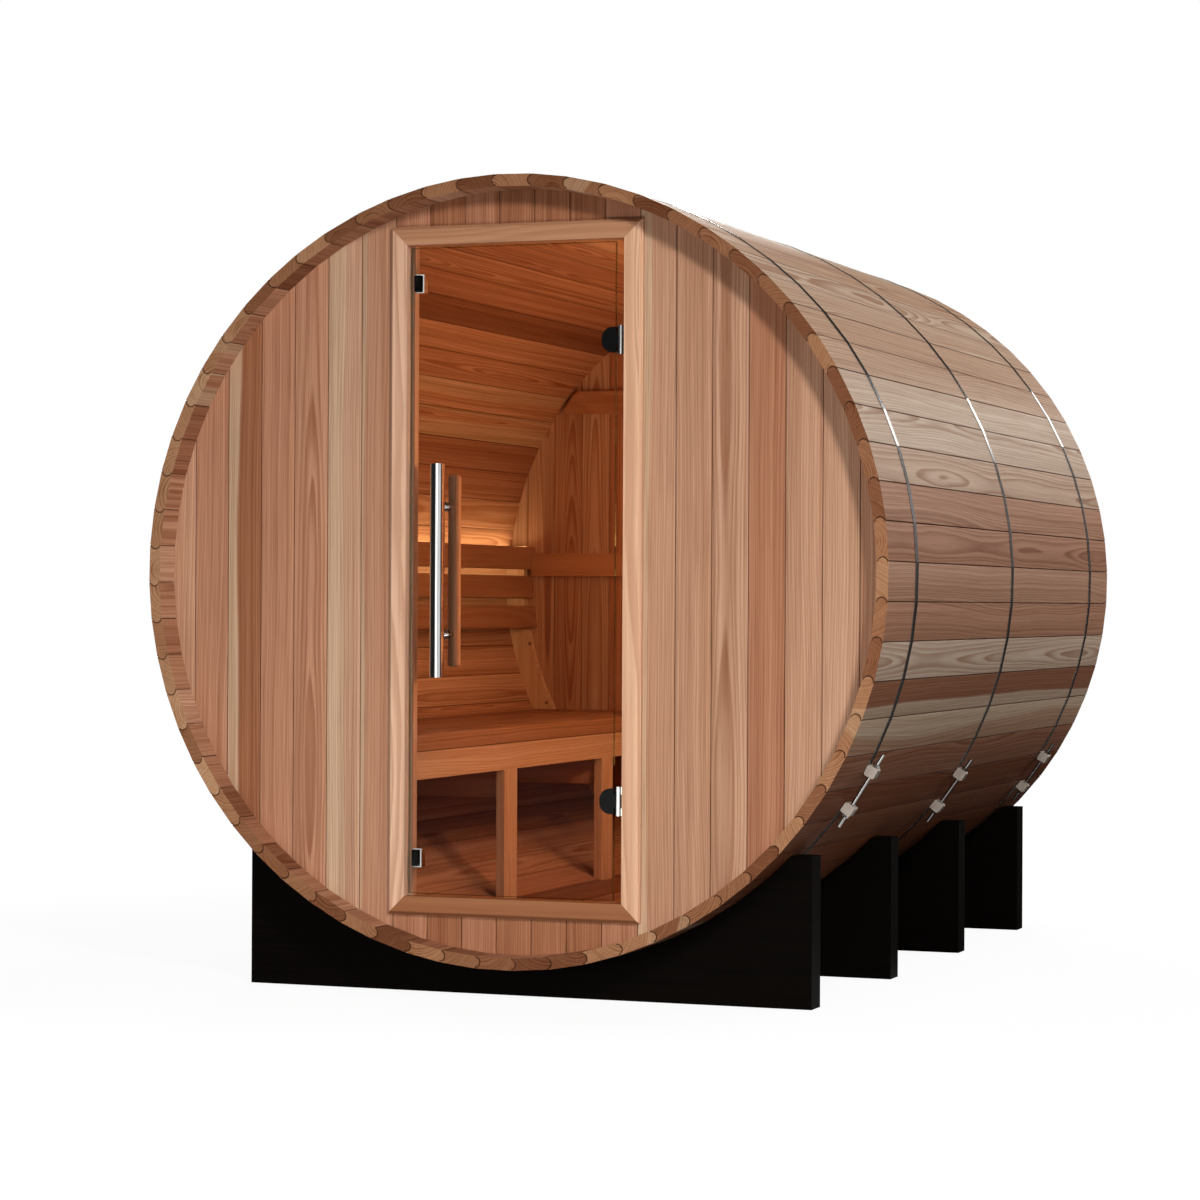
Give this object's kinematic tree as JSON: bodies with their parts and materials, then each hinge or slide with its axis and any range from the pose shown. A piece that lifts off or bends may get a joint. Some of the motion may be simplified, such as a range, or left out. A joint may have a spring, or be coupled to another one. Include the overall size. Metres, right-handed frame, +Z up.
{
  "type": "barrel sauna",
  "caption": "Barrel sauna cabin of bead-and-cove staves with steel bands, recessed board end walls, a hinged glass door, a bench with a backrest inside, on cut-out cradles.",
  "frame": {"origin": "on the ground, under the middle of the barrel", "axes": "-Y is the front with the door, +Y runs along the barrel to the back wall, +X is right as seen from the front, +Z is up"},
  "size_m": [1.814, 2.3, 1.884],
  "materials": {
    "stave_wood": "planed cedar, clear",
    "wall_wood": "planed cedar boards",
    "trim_wood": "planed cedar",
    "inside_wood": "planed cedar",
    "black_timber": "black stain, satin",
    "band_steel": "brushed",
    "bright_steel": "polished",
    "black_hardware": "matte black",
    "door_glass": "clear, toughened",
    "light": "warm light strip"
  },
  "bodies": {
    "cabin": {"staves_1": "stave_wood", "staves_2": "stave_wood", "staves_3": "stave_wood", "staves_4": "stave_wood", "staves_5": "stave_wood", "staves_6": "stave_wood", "staves_7": "stave_wood", "staves_8": "stave_wood", "front_wall_left": "wall_wood", "front_wall_right": "wall_wood", "front_wall_header": "wall_wood", "front_wall_sill": "wall_wood", "back_wall": "wall_wood", "back_wall_battens": "inside_wood", "casing_left": "trim_wood", "casing_right": "trim_wood", "casing_top": "trim_wood", "casing_bottom": "trim_wood", "door_jamb_sides": "trim_wood", "door_jamb_ends": "trim_wood", "bench_seat": "inside_wood", "bench_fascia": "inside_wood", "bench_legs": "inside_wood", "bench_bearers": "inside_wood", "backrest_slats": "inside_wood", "backrest_supports": "inside_wood", "light_strip": "light", "hinge_brackets": "bright_steel", "door_catches": "bright_steel", "bands": "band_steel", "tensioner_blocks": "band_steel", "tensioner_rods": "band_steel", "cradle_1": "black_timber", "cradle_2": "black_timber", "cradle_3": "black_timber", "cradle_4": "black_timber"},
    "door": {"door_glass": "door_glass", "hinge_clamps": "black_hardware", "hinge_knuckles": "bright_steel", "strike_plates": "black_hardware", "handle_tube": "bright_steel", "handle_standoffs": "bright_steel", "handle_grip": "trim_wood"}
  },
  "joints": [
    {"name": "door_swing", "type": "hinge", "parent": "cabin", "child": "door", "pos_m": [0.255, -1.077, 0.977], "axis": [0, 0, 1], "range_deg": [0, 90]}
  ]
}
